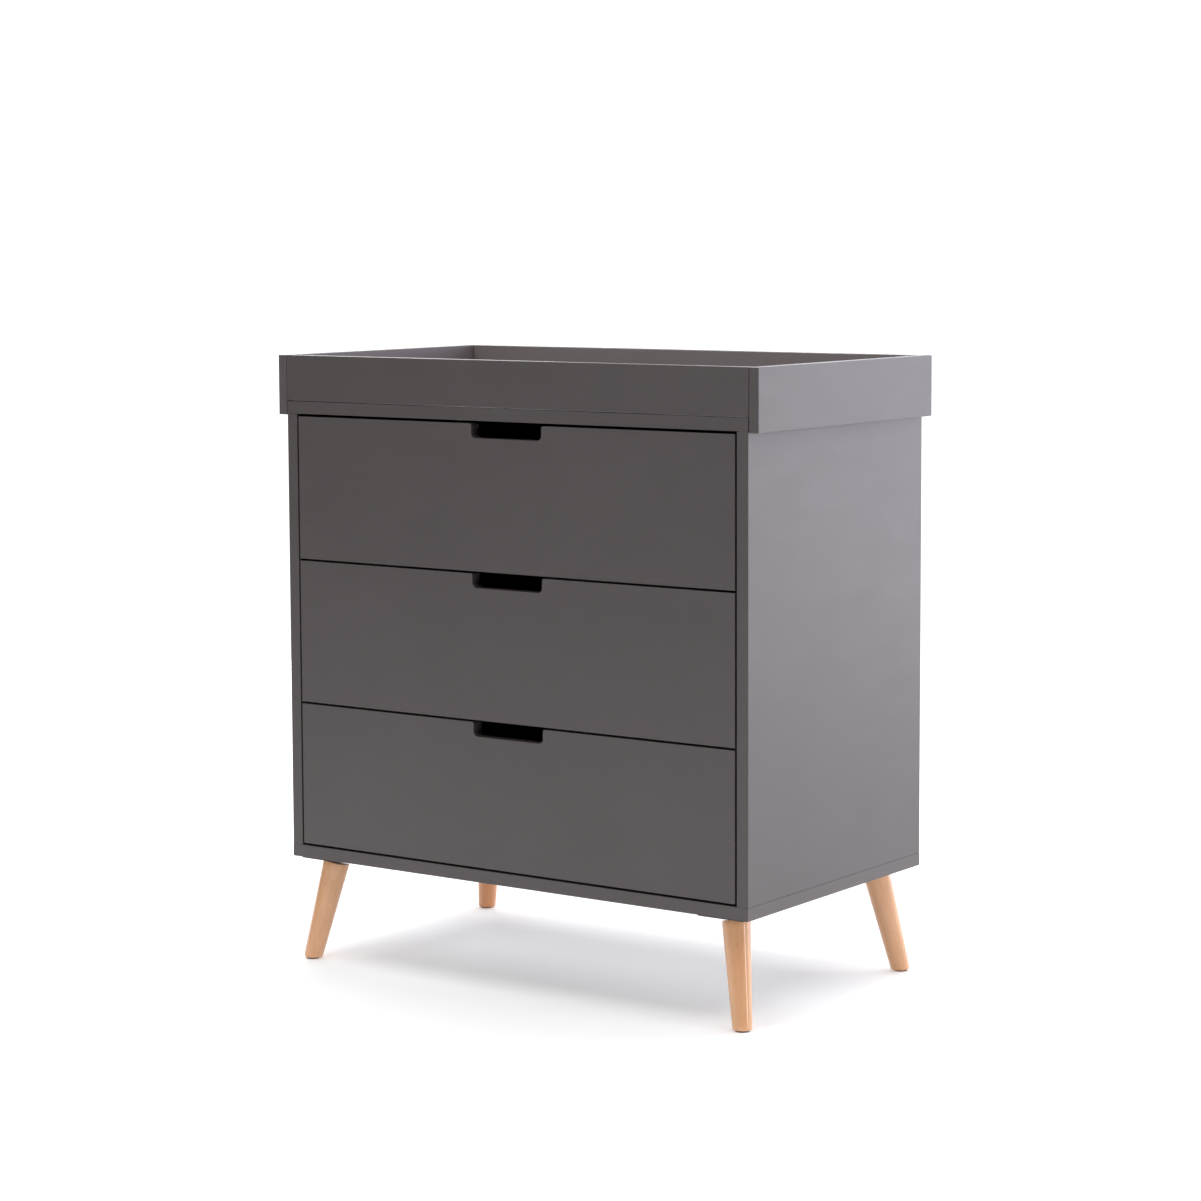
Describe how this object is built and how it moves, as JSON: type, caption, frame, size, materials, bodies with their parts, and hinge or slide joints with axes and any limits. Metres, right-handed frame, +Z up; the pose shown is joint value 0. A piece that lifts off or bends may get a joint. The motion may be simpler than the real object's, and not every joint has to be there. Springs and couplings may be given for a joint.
{
  "type": "changing table",
  "caption": "Painted changing table: a chest of inset drawers with finger slots, on splayed turned wooden legs, with a raised-edge changing tray on top that lifts off.",
  "frame": {"origin": "on the floor under the middle of the chest, at the bottom centre of the bounding box", "axes": "+X to the right seen from the front, +Y to the back (the drawers open along -Y), +Z up"},
  "size_m": [0.832, 0.4615, 0.896],
  "materials": {
    "slate_paint": "satin slate-grey paint on smooth fibreboard",
    "drawer_foil": "matt dark grey foil on particle board",
    "dark_hardboard": "matt dark grey paint on hardboard",
    "beech": "clear satin lacquer on turned beech",
    "zinc_steel": "bright zinc plate",
    "black_steel": "semi-gloss black powder coat",
    "brown_plastic": "matt moulded"
  },
  "bodies": {
    "chest": {"bottom_panel": "slate_paint", "left_side_panel": "slate_paint", "right_side_panel": "slate_paint", "top_panel": "slate_paint", "back_panel": "dark_hardboard", "bottom_left_runner_outer": "zinc_steel", "bottom_right_runner_outer": "zinc_steel", "middle_left_runner_outer": "zinc_steel", "middle_right_runner_outer": "zinc_steel", "top_left_runner_outer": "zinc_steel", "top_right_runner_outer": "zinc_steel", "front_left_leg": "beech", "front_left_leg_plate": "black_steel", "front_left_leg_bolt": "zinc_steel", "front_left_foot_glide": "brown_plastic", "front_right_leg": "beech", "front_right_leg_plate": "black_steel", "front_right_leg_bolt": "zinc_steel", "front_right_foot_glide": "brown_plastic", "rear_left_leg": "beech", "rear_left_leg_plate": "black_steel", "rear_left_leg_bolt": "zinc_steel", "rear_left_foot_glide": "brown_plastic", "rear_right_leg": "beech", "rear_right_leg_plate": "black_steel", "rear_right_leg_bolt": "zinc_steel", "rear_right_foot_glide": "brown_plastic"},
    "bottom_drawer": {"bottom_drawer_front": "slate_paint", "bottom_drawer_left_side": "drawer_foil", "bottom_drawer_right_side": "drawer_foil", "bottom_drawer_back": "drawer_foil", "bottom_drawer_bottom": "dark_hardboard", "bottom_left_runner_inner": "zinc_steel", "bottom_right_runner_inner": "zinc_steel"},
    "bottom_runner_middles": {"bottom_left_runner_middle": "zinc_steel", "bottom_right_runner_middle": "zinc_steel"},
    "middle_drawer": {"middle_drawer_front": "slate_paint", "middle_drawer_left_side": "drawer_foil", "middle_drawer_right_side": "drawer_foil", "middle_drawer_back": "drawer_foil", "middle_drawer_bottom": "dark_hardboard", "middle_left_runner_inner": "zinc_steel", "middle_right_runner_inner": "zinc_steel"},
    "middle_runner_middles": {"middle_left_runner_middle": "zinc_steel", "middle_right_runner_middle": "zinc_steel"},
    "top_drawer": {"top_drawer_front": "slate_paint", "top_drawer_left_side": "drawer_foil", "top_drawer_right_side": "drawer_foil", "top_drawer_back": "drawer_foil", "top_drawer_bottom": "dark_hardboard", "top_left_runner_inner": "zinc_steel", "top_right_runner_inner": "zinc_steel"},
    "top_runner_middles": {"top_left_runner_middle": "zinc_steel", "top_right_runner_middle": "zinc_steel"},
    "changing_tray": {"tray_front_board": "slate_paint", "tray_back_board": "slate_paint", "tray_left_end_board": "slate_paint", "tray_right_end_board": "slate_paint", "tray_left_fixing_plate": "zinc_steel", "tray_right_fixing_plate": "zinc_steel"}
  },
  "joints": [
    {"name": "bottom_drawer_slide", "type": "slide", "parent": "chest", "child": "bottom_drawer", "axis": [0, -1, 0], "range_m": [0, 0.3]},
    {"name": "bottom_runner_slide", "type": "slide", "parent": "chest", "child": "bottom_runner_middles", "axis": [0, -1, 0], "range_m": [0, 0.15]},
    {"name": "middle_drawer_slide", "type": "slide", "parent": "chest", "child": "middle_drawer", "axis": [0, -1, 0], "range_m": [0, 0.3]},
    {"name": "middle_runner_slide", "type": "slide", "parent": "chest", "child": "middle_runner_middles", "axis": [0, -1, 0], "range_m": [0, 0.15]},
    {"name": "top_drawer_slide", "type": "slide", "parent": "chest", "child": "top_drawer", "axis": [0, -1, 0], "range_m": [0, 0.3]},
    {"name": "top_runner_slide", "type": "slide", "parent": "chest", "child": "top_runner_middles", "axis": [0, -1, 0], "range_m": [0, 0.15]},
    {"name": "changing_tray_lift", "type": "slide", "parent": "chest", "child": "changing_tray", "axis": [0, 0, 1], "range_m": [0, 0.12]}
  ],
  "couplings": [
    {"joint": "bottom_runner_slide", "follows": "bottom_drawer_slide", "ratio": 0.5},
    {"joint": "middle_runner_slide", "follows": "middle_drawer_slide", "ratio": 0.5},
    {"joint": "top_runner_slide", "follows": "top_drawer_slide", "ratio": 0.5}
  ]
}
